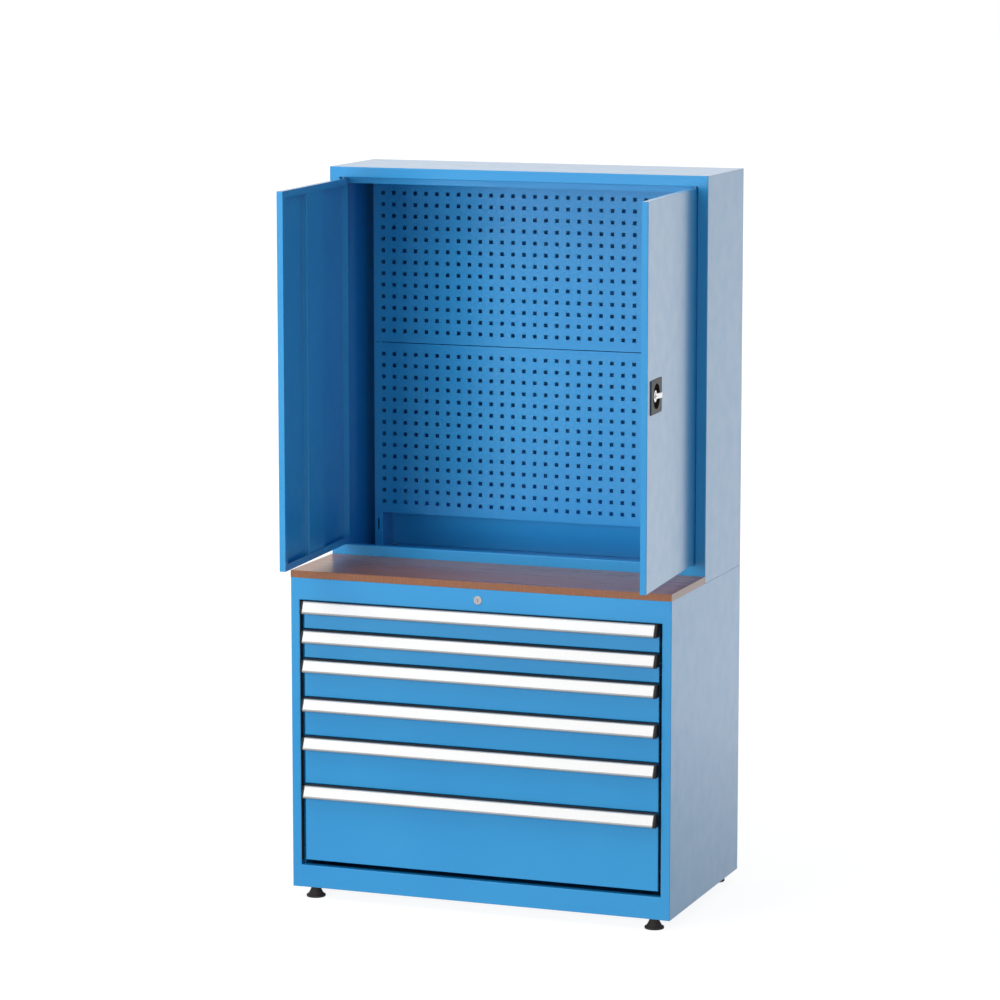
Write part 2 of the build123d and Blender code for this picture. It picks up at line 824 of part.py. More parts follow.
def build_hutch():
    left, right = hutch_side(-1), hutch_side(1)
    save("upper_left_side", left)
    save("upper_right_side", right)

    frame = ((left, right), hutch_opening, hutch_front, flange_depth)
    roof = trimmed(hutch_roof(), *frame, closed_z=top - sheet)
    floor = trimmed(hutch_bottom(), *frame)
    for side in (-1, 1):
        pin_place = (side * hinge_x, hinge_y)
        roof = roof - rod(hinge_pin_radius, (*pin_place, hutch_sill), (*pin_place, top - 2 * sheet))
        floor = floor - rod(hinge_pin_radius, (*pin_place, hutch_floor), (*pin_place, hutch_header))
    bolt_holes, _ = joining_bolts()
    for hole in bolt_holes:
        floor = floor - hole
    save("upper_top", roof)
    save("upper_floor", floor)

    edge = inside - panel_gap
    save("upper_back", block(
        (-edge, edge),
        (back_sheet, back_sheet + sheet),
        (hutch_floor + panel_gap, top - sheet - panel_gap),
    ))

    lower, upper = panel_levels()
    save("peg_panel_lower", peg_panel(*lower))
    save("peg_panel_upper", peg_panel(*upper))
    save("panel_uprights", *uprights())


# ---------------------------------------------------------------- fixings
def joining_bolts():
    """Clearance shanks and whole bolts that tie the hutch to the base."""
    shanks, bolts = [], []
    for x in (bolt_inset_x - half, half - bolt_inset_x):
        for y in (hutch_front + bolt_inset_front, back - bolt_inset_back):
            low, high = base_z1 - sheet, base_z1 + sheet
            shank = rod(bolt_radius, (x, y, low - bolt_reach), (x, y, high))
            head = hexagon(bolt_head_width, bolt_head, (x, y, high))
            nut = hexagon(bolt_head_width, bolt_nut, (x, y, low - bolt_nut))
            shanks.append(shank)
            bolts += [shank + head, nut - shank]
    return shanks, bolts


def hinge_pins():
    pins = []
    for side in (-1, 1):
        x = side * hinge_x
        for plate, inward in ((hutch_sill, 1), (hutch_header, -1)):
            outer_face = plate - inward * sheet
            head_end = outer_face - inward * hinge_head
            tip = plate + inward * (door_gap + hinge_pin_length)
            pins.append(rod(hinge_pin_radius, (x, hinge_y, outer_face), (x, hinge_y, tip))
                        + rod(hinge_head_radius, (x, hinge_y, head_end), (x, hinge_y, outer_face)))
    return pins


def foot_nuts():
    """Reinforcing plates on the base's floor and the nuts welded on them."""
    plates = []
    plate_top = base_z0 + sheet + foot_plate_thickness
    for (x, y), hole in zip(foot_places(), stud_holes()):
        plate = block(
            (x - foot_plate / 2, x + foot_plate / 2),
            (y - foot_plate / 2, y + foot_plate / 2),
            (base_z0 + sheet, plate_top),
        )
        plates += [plate - hole, hexagon(nut_width, nut_height, (x, y, plate_top)) - hole]
    return plates


def build_fixings():
    _, bolts = joining_bolts()
    save("fixings", *hinge_pins(), *bolts, *foot_nuts())


# ---------------------------------------------------------------- doors
def door_leaf(side):
    """Skin, stiffener and hinge bushes of one door, shut."""
    free_x, end_x = side * door_gap / 2, side * door_end
    lips = (0, door_lip) if side < 0 else (door_lip, 0)
    skin = pan(
        (free_x, end_x),
        (hutch_front, hutch_front + door_depth),
        (door_z0, door_z1),
        lips=(*lips, door_lip, door_lip),
    )
    middle = (free_x + end_x) / 2
    brim_y, crown_y = hutch_front + 2 * sheet, hutch_front + sheet + stiffener_height
    hat_x = (middle - stiffener_width / 2, middle + stiffener_width / 2)
    hat = [
        (hat_x[0] - stiffener_brim, brim_y), (hat_x[0], brim_y), (hat_x[0], crown_y),
        (hat_x[1], crown_y), (hat_x[1], brim_y), (hat_x[1] + stiffener_brim, brim_y),
    ]
    stiffener = along_z(folded(hat, -1), door_z0 + 2 * sheet, door_z1 - 2 * sheet)

    bushes = []
    for flange, inward in ((door_z0, 1), (door_z1, -1)):
        start = (side * hinge_x, hinge_y, flange + inward * sheet)
        end = (side * hinge_x, hinge_y, flange + inward * (hinge_pin_length + overrun))
        outside = (side * hinge_x, hinge_y, flange - inward * overrun)
        bush = rod(hinge_pin_radius + bush_wall, start, end)
        bore = rod(hinge_pin_radius + running_gap, outside, end)
        bushes.append(bush - bore)
        skin = skin - bore
    return skin, stiffener, bushes


def build_left_door():
    skin, stiffener, bushes = door_leaf(-1)
    save("left_door", *[swung(piece, -1, left_open) for piece in (skin, stiffener, *bushes)])


def latch_rod(up):
    """Flat latch bar, shut and released: up is 1 for the upper bar and -1 for the lower."""
    x = handle_x - up * rod_offset
    pin_z = handle_z - up * rod_stroke / 2
    tail = pin_z - up * rod_end
    limit = hutch_header - stop_height if up > 0 else hutch_sill
    tip = limit - up * rod_end_clear
    bar = block((x - rod_width / 2, x + rod_width / 2), (rod_y, rod_y + rod_thickness), (tail, tip))
    slot_half = cam_pin_radius + cam_pin_play
    near, far = rod_stroke / 2, hypot(rod_stroke / 2, rod_stroke / 2)
    slot = block(
        (handle_x - up * (near - slot_half), handle_x - up * (far + slot_half)),
        (rod_y - overrun, rod_y + rod_thickness + overrun),
        (pin_z - slot_half, pin_z + slot_half),
    )
    return bar - slot


def rod_guides():
    """Brackets on the right door's skin that the latch bars run through."""
    guides = []
    for up in (-1, 1):
        x = handle_x - up * rod_offset
        door_edge = door_z1 if up > 0 else door_z0
        for z in (door_edge - up * guide_inset, handle_z + up * guide_rise):
            guide = block(
                (x - guide_width / 2, x + guide_width / 2),
                (hutch_front + sheet, rod_y + rod_thickness + guide_wall),
                (z - guide_height / 2, z + guide_height / 2),
            )
            passage = block(
                (x - rod_width / 2 - free_gap, x + rod_width / 2 + free_gap),
                (rod_y - free_gap, rod_y + rod_thickness + free_gap),
                (z - guide_height, z + guide_height),
            )
            hollow = block(
                (x - guide_width / 2 + guide_wall, x + guide_width / 2 - guide_wall),
                (hutch_front + sheet + guide_wall, rod_y - guide_wall),
                (z - guide_height, z + guide_height),
            )
            guides.append(guide - passage - hollow)
    return guides


def dish():
    """Recessed plastic dish round the door's handle."""
    face_y = hutch_front - dish_plate
    plate = block(
        (handle_x - dish_width / 2, handle_x + dish_width / 2),
        (face_y, hutch_front),
        (handle_z - dish_height / 2, handle_z + dish_height / 2),
    )
    plate = fillet(plate.edges().filter_by(Axis.Y), dish_corner)
    plate = fillet(plate.faces().sort_by(Axis.Y)[0].edges(), dish_edge)
    floor_y = face_y + dish_recess
    body = block(
        (handle_x - dish_width / 2 + dish_border, handle_x + dish_width / 2 - dish_border),
        (hutch_front, floor_y + dish_floor),
        (handle_z - dish_height / 2 + dish_border, handle_z + dish_height / 2 - dish_border),
    )
    recess_mouth = (handle_x, face_y - overrun, handle_z)
    recess = rod(dish_recess_radius, recess_mouth, (handle_x, floor_y, handle_z))
    recess = fillet(recess.edges().sort_by(Axis.Y)[-1], dish_recess_fillet)
    spindle = rod(
        spindle_radius + running_gap,
        (handle_x, floor_y - overrun, handle_z),
        (handle_x, floor_y + dish_floor + overrun, handle_z),
    )
    return plate + body - recess - spindle


def turn_handle():
    """Lever, hub, spindle and cam as one turning piece, shut and released."""
    face_y = hutch_front - dish_plate
    floor_y = face_y + dish_recess
    hub_y0 = hutch_front - hub_top
    cam_y0 = floor_y + dish_floor + free_gap
    hub = rod(hub_radius, (handle_x, floor_y - free_gap, handle_z), (handle_x, hub_y0, handle_z))
    outline = polygon([(handle_x + along, hutch_front + behind) for along, behind in lever_profile])
    lever = along_z(outline, handle_z - lever_width / 2, handle_z + lever_width / 2)
    lever = fillet(lever.edges().filter_by(Axis.Z).sort_by(Axis.X)[-2:], lever_fillet)
    cylinder_y = (hub_y0 - cylinder_rise, hub_y0 + overrun)
    cylinder = rod(cylinder_radius, (handle_x, cylinder_y[0], handle_z), (handle_x, cylinder_y[1], handle_z))
    key = block(
        (handle_x - key_slot_height / 2, handle_x + key_slot_height / 2),
        (cylinder_y[0] - overrun, cylinder_y[1]),
        (handle_z - key_slot_width / 2, handle_z + key_slot_width / 2),
    )
    spindle_y = (floor_y - overrun, cam_y0 + overrun)
    spindle = rod(spindle_radius, (handle_x, spindle_y[0], handle_z), (handle_x, spindle_y[1], handle_z))
    cam_y1 = cam_y0 + cam_thickness
    cam = rod(cam_radius, (handle_x, cam_y0, handle_z), (handle_x, cam_y1, handle_z))
    body = hub + lever + cylinder - key + spindle + cam
    for up in (-1, 1):
        pin_x = handle_x - up * rod_stroke / 2
        pin_z = handle_z - up * rod_stroke / 2
        pin_tip = rod_y + rod_thickness + overrun
        body = body + rod(cam_pin_radius, (pin_x, cam_y1 - overrun, pin_z), (pin_x, pin_tip, pin_z))
    return body


def build_right_door():
    skin, stiffener, bushes = door_leaf(1)
    border = dish_border - free_gap
    skin = skin - block(
        (handle_x - dish_width / 2 + border, handle_x + dish_width / 2 - border),
        (hutch_front - overrun, hutch_front + 2 * sheet),
        (handle_z - dish_height / 2 + border, handle_z + dish_height / 2 - border),
    )
    leaf = [skin, stiffener, *bushes, *rod_guides()]
    save("right_door", *[swung(piece, 1, right_open) for piece in leaf])
    save("handle_dish", swung(dish(), 1, right_open))
    save("turn_handle", swung(turn_handle(), 1, right_open))
    save("latch_rod_upper", swung(latch_rod(1), 1, right_open))
    save("latch_rod_lower", swung(latch_rod(-1), 1, right_open))


os.makedirs("parts", exist_ok=True)
build_base()
build_feet()
build_drawers()
build_lock()
build_worktop()
build_hutch()
build_fixings()
build_left_door()
build_right_door()
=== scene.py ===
"""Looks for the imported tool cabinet: paint, plywood, plastics and metals, and its small fittings.

Everything is in metres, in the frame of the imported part: X right, Y to the back, Z up.
"""
import json
import math

import bmesh
import bpy
from mathutils import Matrix, Vector


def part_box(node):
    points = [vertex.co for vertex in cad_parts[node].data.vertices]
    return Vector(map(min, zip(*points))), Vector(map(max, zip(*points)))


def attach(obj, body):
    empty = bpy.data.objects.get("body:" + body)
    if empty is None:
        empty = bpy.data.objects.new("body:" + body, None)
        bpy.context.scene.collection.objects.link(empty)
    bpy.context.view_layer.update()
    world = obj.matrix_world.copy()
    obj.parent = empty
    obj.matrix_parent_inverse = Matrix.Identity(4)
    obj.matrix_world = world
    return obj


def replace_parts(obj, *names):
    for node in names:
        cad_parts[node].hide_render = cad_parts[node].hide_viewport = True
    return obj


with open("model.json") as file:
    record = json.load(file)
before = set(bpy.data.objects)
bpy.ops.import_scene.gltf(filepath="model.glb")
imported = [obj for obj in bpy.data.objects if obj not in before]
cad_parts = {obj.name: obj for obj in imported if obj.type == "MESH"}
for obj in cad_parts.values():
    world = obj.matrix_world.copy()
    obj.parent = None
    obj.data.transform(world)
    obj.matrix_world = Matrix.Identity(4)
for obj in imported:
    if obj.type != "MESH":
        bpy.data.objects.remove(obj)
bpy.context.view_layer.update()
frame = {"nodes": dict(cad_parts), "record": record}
nodes = frame["nodes"]
DRAWERS = range(1, 7)
MM = 0.001


def corners(node):
    """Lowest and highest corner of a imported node, in millimetres to the nearest tenth."""
    return [Vector([round(value / MM, 1) for value in corner]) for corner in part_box(node)]


# places in millimetres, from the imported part, that the finishes and the new pieces line up with
WORKTOP_BOTTOM, WORKTOP_TOP = [corner.z for corner in corners("worktop")]
BASE_FRONT, BACK = [corner.y for corner in corners("lower_base")]
HUTCH_FRONT = corners("upper_top")[0].y
OPENING = corners("lower_right_side")[0].x
HUTCH_OPENING = corners("upper_right_side")[0].x
FRONT_BOTTOMS = [corners(f"drawer_{number}_front")[0].z for number in DRAWERS]
FRONT_TOPS = [corners(f"drawer_{number}_front")[1].z for number in DRAWERS]
# the strips on a handle end a little inside it
HANDLE_HALF = corners("drawer_1_handle")[1].x - 1.0
# inside their nodes: the tray's painted sides, and the lock's hanger below the deck
TRAY_HALF = 466.0
HANGER_FRONT, HANGER_BACK, DECK_UNDERSIDE = 235.0, 241.0, 828.7


# ---------------------------------------------------------------- colours and nodes
def paint(hex_colour):
    """Linear RGBA of an sRGB hex colour."""
    channels = [int(hex_colour[i:i + 2], 16) / 255 for i in (1, 3, 5)]
    return (*[c / 12.92 if c <= 0.04045 else ((c + 0.055) / 1.055) ** 2.4 for c in channels], 1.0)


def add(tree, kind, inputs=None, **settings):
    """One node. inputs maps a socket's name or number to a value or to another node's output."""
    made = tree.nodes.new(kind)
    for key, value in settings.items():
        setattr(made, key, value)
    for key, value in (inputs or {}).items():
        if isinstance(value, bpy.types.NodeSocket):
            tree.links.new(value, made.inputs[key])
        else:
            made.inputs[key].default_value = value
    return made


def surface(name, **sockets):
    """A new material: its tree, its Principled shader and its Object coordinates."""
    material = bpy.data.materials.new(name)
    material.use_nodes = True
    tree = material.node_tree
    shader = tree.nodes["Principled BSDF"]
    for key, value in sockets.items():
        shader.inputs[key.replace("_", " ")].default_value = value
    place = add(tree, "ShaderNodeTexCoord").outputs["Object"]
    return material, tree, shader, place


def mottle(tree, place, size, detail=2.0, roughness=0.5, stretch=(1, 1, 1)):
    """Soft random pattern: its features are about size metres across, and stretched per axis."""
    scaled = add(tree, "ShaderNodeMapping", {"Vector": place, "Scale": [1 / s for s in stretch]})
    made = add(tree, "ShaderNodeTexNoise", {
        "Vector": scaled.outputs[0], "Scale": 1 / size, "Detail": detail, "Roughness": roughness,
    })
    return made.outputs["Fac"]


# a mottle keeps near one half: its useful share lies between these
MOTTLE_LOW, MOTTLE_HIGH = 0.3, 0.7


def two_tone(tree, pattern, first, second):
    """Colour that wanders between two paints as a mottle does."""
    share = add(tree, "ShaderNodeMapRange", {
        "Value": pattern, "From Min": MOTTLE_LOW, "From Max": MOTTLE_HIGH,
    })
    made = add(tree, "ShaderNodeMix", {
        "Factor": share.outputs["Result"], 6: paint(first), 7: paint(second),
    }, data_type="RGBA")
    return made.outputs[2]


def dress(tree, shader, colour, gloss, low, high, relief=None, strength=0.0, depth=0.0):
    """Lay a colour, an uneven gloss and, where there is one, a relief on a surface.

    Roughness goes from low to high as the mottle gloss does. The relief is depth metres deep.
    """
    tree.links.new(colour, shader.inputs["Base Color"])
    uneven = add(tree, "ShaderNodeMapRange", {
        "Value": gloss, "From Min": MOTTLE_LOW, "From Max": MOTTLE_HIGH, "To Min": low, "To Max": high,
    })
    tree.links.new(uneven.outputs["Result"], shader.inputs["Roughness"])
    if relief:
        raised = add(tree, "ShaderNodeBump", {"Height": relief, "Strength": strength, "Distance": depth})
        tree.links.new(raised.outputs["Normal"], shader.inputs["Normal"])


# ---------------------------------------------------------------- finishes
def powder_coat():
    """Light-blue polyester powder, baked: a smooth semi-gloss skin with a faint orange peel."""
    material, tree, shader, place = surface(
        "powder_coat_light_blue", IOR=1.5, Coat_Weight=1.0, Coat_Roughness=0.22, Coat_IOR=1.5,
    )
    colour = two_tone(tree, mottle(tree, place, 350 * MM), "#1F92D2", "#2799D6")
    gloss = mottle(tree, place, 50 * MM)
    # orange peel is 1 to 2 mm from crest to crest; 4 mm is the finest that the render can show
    peel = mottle(tree, place, 4 * MM, detail=1.0)
    dress(tree, shader, colour, gloss, 0.34, 0.42, relief=peel, strength=0.12, depth=0.4 * MM)
    return material


PLY_PAIR = 2.77 * MM


def plywood_edge():
    """Sawn and lacquered edge of hardwood plywood: thirteen stacked veneers in 18 mm."""
    material, tree, shader, place = surface(
        "plywood_edge_lacquered", IOR=1.5, Coat_Weight=1.0, Coat_Roughness=0.3, Coat_IOR=1.5,
    )
    height = add(tree, "ShaderNodeSeparateXYZ", {0: place}).outputs["Z"]
    # the grain turns at each ply, so every second one shows darker end grain
    pair = add(tree, "ShaderNodeMath", {0: height, 1: 1 / PLY_PAIR}, operation="MULTIPLY")
    band = add(tree, "ShaderNodeMath", {0: pair.outputs[0]}, operation="FRACT")
    is_dark = add(tree, "ShaderNodeMapRange", {
        "Value": band.outputs[0], "From Min": 0.4, "From Max": 0.5,
    })
    grain = mottle(tree, place, 3 * MM, detail=4.0, roughness=0.7, stretch=(8, 8, 0.4))
    # the saw leaves upright marks 2 to 5 mm wide across all plies
    streak = mottle(tree, place, 5 * MM, detail=3.0, roughness=0.6, stretch=(1, 1, 8))
    colour = add(tree, "ShaderNodeMix", {
        "Factor": is_dark.outputs["Result"],
        6: two_tone(tree, grain, "#8F5A3C", "#A9714B"),
        7: two_tone(tree, streak, "#5F321D", "#96603E"),
    }, data_type="RGBA")
    dress(
        tree, shader, colour.outputs[2], streak, 0.48, 0.6,
        relief=grain, strength=0.25, depth=0.3 * MM,
    )
    return material


def brown_film():
    """Smooth phenolic film on the plywood's faces, with faint veins from the veneer below."""
    material, tree, shader, place = surface(
        "phenolic_film_brown", IOR=1.42, Coat_Weight=0.12, Coat_Roughness=0.2, Coat_IOR=1.5,
    )
    veins = mottle(tree, place, 20 * MM, detail=5.0, roughness=0.6, stretch=(14, 1, 1))
    dress(tree, shader, two_tone(tree, veins, "#AA6A4E", "#C08262"), veins, 0.26, 0.32)
    return material


def satin_aluminium():
    """Extruded aluminium, satin anodised: fine die lines run along the profile."""
    material, tree, shader, place = surface("aluminium_satin_anodised", Metallic=1.0)
    # real die lines are a few tenths of a millimetre apart; they are drawn coarser, to show close up
    lines = mottle(tree, place, 1.2 * MM, detail=3.0, roughness=0.6, stretch=(400, 1, 1))
    colour = two_tone(tree, lines, "#C6C8CA", "#D2D3D4")
    dress(tree, shader, colour, lines, 0.3, 0.42, relief=lines, strength=0.1, depth=0.1 * MM)
    return material


def label_card():
    """Blank card under a clear PVC strip: white and evenly glossy."""
    material, tree, shader, place = surface(
        "card_under_clear_pvc", IOR=1.5, Coat_Weight=1.0, Coat_Roughness=0.12,
    )
    fibre = mottle(tree, place, 4 * MM, detail=3.0)
    dress(tree, shader, two_tone(tree, fibre, "#F3F3F3", "#F7F7F6"), fibre, 0.35, 0.45)
    return material


def moulded_plastic(name, dark, light, grain_size, low, high):
    """Injection-moulded plastic or rubber: matt, with a fine spark-eroded grain."""
    material, tree, shader, place = surface(name, IOR=1.46)
    # a real grain is 0.1 to 0.3 mm across; it is drawn coarser, to show close up
    grain = mottle(tree, place, grain_size, detail=3.0)
    colour = two_tone(tree, grain, dark, light)
    dress(tree, shader, colour, grain, low, high, relief=grain, strength=0.3, depth=0.3 * MM)
    return material


def plated_metal(name, dark, light, spangle, low, high):
    """Plated steel: bright metal whose gloss wanders a little from place to place."""
    material, tree, shader, place = surface(name, Metallic=1.0)
    cloud = mottle(tree, place, spangle, detail=3.0)
    dress(tree, shader, two_tone(tree, cloud, dark, light), cloud, low, high)
    return material


BLUE = powder_coat()
EDGE = plywood_edge()
FILM = brown_film()
ALUMINIUM = satin_aluminium()
CARD = label_card()
CAP = moulded_plastic("polypropylene_black", "#1C1916", "#28241F", 1.2 * MM, 0.5, 0.62)
DISH = moulded_plastic("polyamide_charcoal", "#2C2723", "#37312C", 1.2 * MM, 0.42, 0.55)
RUBBER = moulded_plastic("rubber_black", "#2A2523", "#37312E", 2 * MM, 0.55, 0.75)
ZINC = plated_metal("steel_bright_zinc", "#A9ACB0", "#C3C6C9", 8 * MM, 0.25, 0.4)
CHROME = plated_metal("zinc_alloy_chromed", "#DCD9D6", "#E8E5E2", 10 * MM, 0.2, 0.3)


def finish(node, material):
    """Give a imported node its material."""
    slots = nodes[node].data.materials
    slots.clear()
    slots.append(material)


BY_SLOT = {
    "blue_paint": BLUE, "handle_aluminium": ALUMINIUM, "black_plastic": CAP, "dish_plastic": DISH,
    "plywood": EDGE, "zinc_steel": ZINC, "chrome": CHROME, "foot_rubber": RUBBER,
}
for part in frame["record"]["subparts"]:
    finish(part["node"], BY_SLOT[part["material_slot"]])


def finish_faces(node, material, belongs):
    """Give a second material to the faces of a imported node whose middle, in millimetres, passes a test."""
    mesh = nodes[node].data
    mesh.materials.append(material)
    index = len(mesh.materials) - 1
    for face in mesh.polygons:
        if belongs(face.center / MM):
            face.material_index = index


def on_slide(middle):
    """The zinc slide members lie outside the painted sides of their tray."""
    return abs(middle.x) > TRAY_HALF + 0.2


def on_film(middle):
    """Film covers the worktop's two faces, and its edges stay bare plywood."""
    return middle.z > WORKTOP_TOP - 0.1 or middle.z < WORKTOP_BOTTOM + 0.1


def on_hanger(middle):
    """The lock's rod hangs in a zinc bracket below the painted deck."""
    return HANGER_FRONT < middle.y < HANGER_BACK and middle.z < DECK_UNDERSIDE


for number in DRAWERS:
    finish_faces(f"drawer_{number}_tray", ZINC, on_slide)
finish_faces("worktop", FILM, on_film)
finish_faces("lower_deck", ZINC, on_hanger)


# ---------------------------------------------------------------- making pieces
def piece(name, mesh, body, slot, *materials):
    """Put a finished mesh in the scene as a piece that rides on a body."""
    made = bpy.data.objects.new(name, mesh)
    bpy.context.scene.collection.objects.link(made)
    for material in materials:
        mesh.materials.append(material)
    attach(made, body)
    return made


def turned_mesh(name, outline, centre, steps=48):
    """Solid of revolution about a vertical axis: outline is (radius, height) from the bottom up."""
    form = bmesh.new()
    rings = []
    for radius, height in outline:
        ring = []
        for i in range(steps):
            angle = 2 * math.pi * i / steps
            ring.append(form.verts.new((
                centre[0] + radius * math.cos(angle), centre[1] + radius * math.sin(angle), height,
            )))
        rings.append(ring)
    for low, high in zip(rings, rings[1:]):
        for i in range(steps):
            j = (i + 1) % steps
            form.faces.new((low[i], low[j], high[j], high[i]))
    form.faces.new(rings[0][::-1])
    form.faces.new(rings[-1])
    mesh = bpy.data.meshes.new(name)
    form.to_mesh(mesh)
    form.free()
    for face in mesh.polygons:
        face.use_smooth = len(face.vertices) == 4
    return mesh


# ---------------------------------------------------------------- geometry trees
def new_tree(name, sizes):
    """An empty geometry tree with a mesh input and one named number for each size, in metres."""
    tree = bpy.data.node_groups.new(name, "GeometryNodeTree")
    tree.interface.new_socket("Geometry", in_out="INPUT", socket_type="NodeSocketGeometry")
    for label, value in sizes.items():
        socket = tree.interface.new_socket(label, in_out="INPUT", socket_type="NodeSocketFloat")
        socket.default_value = value
    tree.interface.new_socket("Material", in_out="INPUT", socket_type="NodeSocketMaterial")
    tree.interface.new_socket("Geometry", in_out="OUTPUT", socket_type="NodeSocketGeometry")
    return tree, tree.nodes.new("NodeGroupInput").outputs


def end_tree(tree, geometry, material):
    """Realize, set the material and hand the result over."""
    real = add(tree, "GeometryNodeRealizeInstances", {0: geometry})
    done = add(tree, "GeometryNodeSetMaterial", {"Geometry": real.outputs[0], "Material": material})
    add(tree, "NodeGroupOutput", {0: done.outputs[0]})


def grown(name, tree, mesh, material):
    """Run a geometry tree on a mesh and return the plain mesh that comes out."""
    seed = bpy.data.objects.new(name, mesh)
    bpy.context.scene.collection.objects.link(seed)
    modifier = seed.modifiers.new("grow", "NODES")
    modifier.node_group = tree
    modifier[tree.interface.items_tree["Material"].identifier] = material
    bpy.context.view_layer.update()
    graph = bpy.context.evaluated_depsgraph_get()
    result = bpy.data.meshes.new_from_object(seed.evaluated_get(graph))
    result.name = name
    bpy.data.objects.remove(seed)
    return result


def points_mesh(name, points, normal):
    """Loose points that carry the direction that their fittings face."""
    mesh = bpy.data.meshes.new(name)
    mesh.from_pydata(points, [], [])
    facing = mesh.attributes.new("facing", "FLOAT_VECTOR", "POINT")
    facing.data.foreach_set("vector", normal * len(points))
    return mesh


def instances_on_points(tree, inputs, instance):
    """Stand one instance on each point, its Z along the point's facing direction."""
    facing = add(tree, "GeometryNodeInputNamedAttribute", {"Name": "facing"}, data_type="FLOAT_VECTOR")
    turn = add(tree, "FunctionNodeAlignRotationToVector", {"Vector": facing.outputs["Attribute"]}, axis="Z")
    return add(tree, "GeometryNodeInstanceOnPoints", {
        "Points": inputs["Geometry"], "Instance": instance, "Rotation": turn.outputs[0],
    }).outputs[0]


def dome(tree, radius, height):
    """A low round head: a sphere flattened to its height, half of it sunk in the sheet."""
    ball = add(tree, "GeometryNodeMeshUVSphere", {"Segments": 20, "Rings": 10, "Radius": radius})
    flat = add(tree, "ShaderNodeMath", {0: height, 1: radius}, operation="DIVIDE")
    scale = add(tree, "ShaderNodeCombineXYZ", {"X": 1.0, "Y": 1.0, "Z": flat.outputs[0]})
    return add(tree, "GeometryNodeTransform", {
        "Geometry": ball.outputs["Mesh"], "Scale": scale.outputs[0],
    }).outputs[0]


def rivet_tree():
    """Blind rivets: a domed flange with the sunk end of its broken stem."""
    tree, inputs = new_tree("blind_rivets", {"Radius": 3.2 * MM, "Height": 1.0 * MM})
    head = dome(tree, inputs["Radius"], inputs["Height"])
    bore = add(tree, "ShaderNodeMath", {0: inputs["Radius"], 1: 0.32}, operation="MULTIPLY")
    stem = add(tree, "GeometryNodeMeshCylinder", {
        "Vertices": 12, "Radius": bore.outputs[0], "Depth": inputs["Height"],
    })
    rise = add(tree, "ShaderNodeMath", {0: inputs["Height"], 1: 1.15}, operation="MULTIPLY")
    lift = add(tree, "ShaderNodeCombineXYZ", {"Z": rise.outputs[0]})
    raised = add(tree, "GeometryNodeTransform", {
        "Geometry": stem.outputs["Mesh"], "Translation": lift.outputs[0],
    })
    sunk = add(tree, "GeometryNodeMeshBoolean", {0: head, 1: raised.outputs[0]}, operation="DIFFERENCE")
    end_tree(tree, instances_on_points(tree, inputs, sunk.outputs[0]), inputs["Material"])
    return tree


def screw_tree():
    """Pan-head screws with a cross recess."""
    tree, inputs = new_tree("cross_screws", {"Radius": 3.8 * MM, "Height": 1.6 * MM, "Slot": 0.8 * MM})
    head = dome(tree, inputs["Radius"], inputs["Height"])
    length = add(tree, "ShaderNodeMath", {0: inputs["Radius"], 1: 1.1}, operation="MULTIPLY")
    lift = add(tree, "ShaderNodeCombineXYZ", {"Z": inputs["Height"]})
    for angle in (0.0, math.pi / 2):
        size = add(tree, "ShaderNodeCombineXYZ", {
            "X": length.outputs[0], "Y": inputs["Slot"], "Z": inputs["Height"],
        })
        bar = add(tree, "GeometryNodeMeshCube", {"Size": size.outputs[0]})
        placed = add(tree, "GeometryNodeTransform", {
            "Geometry": bar.outputs["Mesh"], "Translation": lift.outputs[0], "Rotation": (0, 0, angle),
        })
        cut = add(tree, "GeometryNodeMeshBoolean", {0: head, 1: placed.outputs[0]}, operation="DIFFERENCE")
        head = cut.outputs[0]
    end_tree(tree, instances_on_points(tree, inputs, head), inputs["Material"])
    return tree


RIVETS, SCREWS = rivet_tree(), screw_tree()


def zinc_fittings(name, tree, points, normal, body):
    """One zinc-plated fitting on each point, all in one mesh on one body."""
    return piece(name, grown(name, tree, points_mesh(name, points, normal), ZINC), body, "zinc_steel")


# ---------------------------------------------------------------- feet
# outlines from the bottom up, as (radius, height)
BOOT_OUTLINE = [
    (22.6, 0.0), (23.8, 0.3), (24.4, 1.0), (24.5, 4.6), (24.1, 5.3), (22.0, 5.7), (20.9, 6.3),
    (18.6, 9.6), (16.2, 13.6), (14.2, 17.6), (12.7, 21.4), (12.0, 24.4), (11.8, 28.9), (11.2, 29.7),
]


def thread_outline(bottom, rings, pitch, root, crest, tip):
    """An M10 thread, cut as plain rings between its root's and its crest's radius."""
    outline = []
    for step in range(rings):
        z = bottom + pitch * step
        outline += [(root, z), (crest, z + 0.4 * pitch), (crest, z + 0.6 * pitch)]
    return outline + [tip]


STUD_OUTLINE = thread_outline(
    bottom=29.0, rings=17, pitch=1.5, root=4.25, crest=4.98, tip=(4.2, 55.2),
)


def foot(end, side):
    """Rubber boot and threaded stud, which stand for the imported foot."""
    body = f"foot_{end}_{side}"
    low, high = corners(body)
    centre = ((low.x + high.x) / 2 * MM, (low.y + high.y) / 2 * MM)
    boot = turned_mesh(f"{body}_boot", [(r * MM, z * MM) for r, z in BOOT_OUTLINE], centre)
    stud = turned_mesh(f"{body}_stud", [(r * MM, z * MM) for r, z in STUD_OUTLINE], centre, 24)
    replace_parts(piece(f"{body}_boot", boot, body, "foot_rubber", RUBBER), body)
    piece(f"{body}_stud", stud, body, "zinc_steel", ZINC)


for end in ("front", "rear"):
    for side in ("left", "right"):
        foot(end, side)


